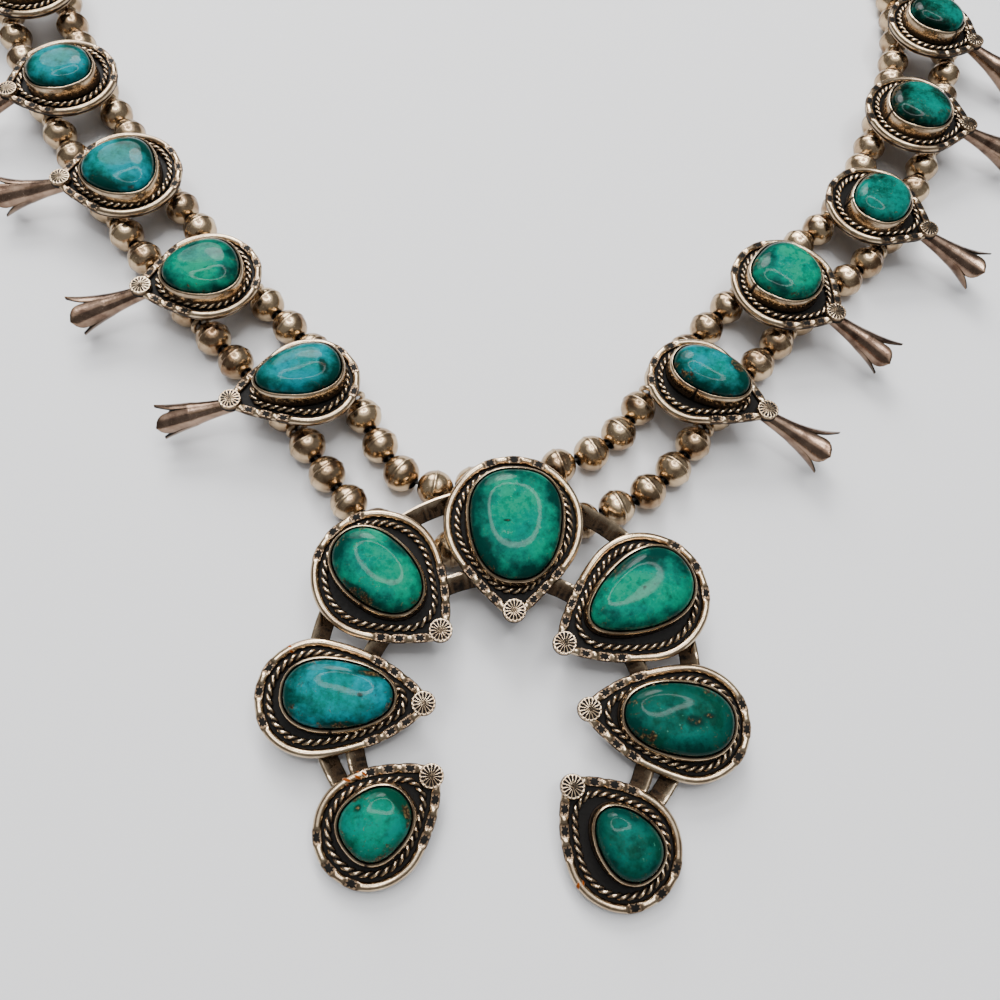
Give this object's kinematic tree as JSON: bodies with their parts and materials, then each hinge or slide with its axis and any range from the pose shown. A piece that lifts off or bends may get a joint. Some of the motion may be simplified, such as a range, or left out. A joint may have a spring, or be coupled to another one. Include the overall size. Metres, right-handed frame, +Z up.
{
  "type": "squash blossom necklace",
  "caption": "Necklace of two strands of round silver beads with flared silver blossoms set with green-blue stones and a crescent pendant of stone settings.",
  "frame": {"origin": "middle of the necklace's outline, on the surface that it lies on", "axes": "+Z up from the surface, +Y from the crescent pendant towards the clasp, +X towards the right row of blossoms as the picture shows it"},
  "size_m": [0.2469, 0.2834, 0.0147],
  "materials": {
    "silver": "worn silver, bright on the ridges and oxidised dark in the recesses",
    "bead_silver": "polished silver with a warm tarnish and small scratches",
    "turquoise": "polished stone with brown and black veins",
    "thread": "matt waxed thread"
  },
  "bodies": {
    "root": {"naja": "silver", "naja_stone_top": "turquoise", "naja_stone_upper_left": "turquoise", "naja_stone_middle_left": "turquoise", "naja_stone_lower_left": "turquoise", "naja_stone_upper_right": "turquoise", "naja_stone_middle_right": "turquoise", "naja_stone_lower_right": "turquoise", "blossom_left_1": "silver", "blossom_left_2": "silver", "blossom_left_3": "silver", "blossom_left_4": "silver", "blossom_left_5": "silver", "blossom_right_1": "silver", "blossom_right_2": "silver", "blossom_right_3": "silver", "blossom_right_4": "silver", "blossom_right_5": "silver", "blossom_stone_left_1": "turquoise", "blossom_stone_left_2": "turquoise", "blossom_stone_left_3": "turquoise", "blossom_stone_left_4": "turquoise", "blossom_stone_left_5": "turquoise", "blossom_stone_right_1": "turquoise", "blossom_stone_right_2": "turquoise", "blossom_stone_right_3": "turquoise", "blossom_stone_right_4": "turquoise", "blossom_stone_right_5": "turquoise", "beads_inner": "bead_silver", "beads_outer": "bead_silver", "thread_inner": "thread", "thread_outer": "thread", "clasp": "silver"}
  },
  "joints": []
}
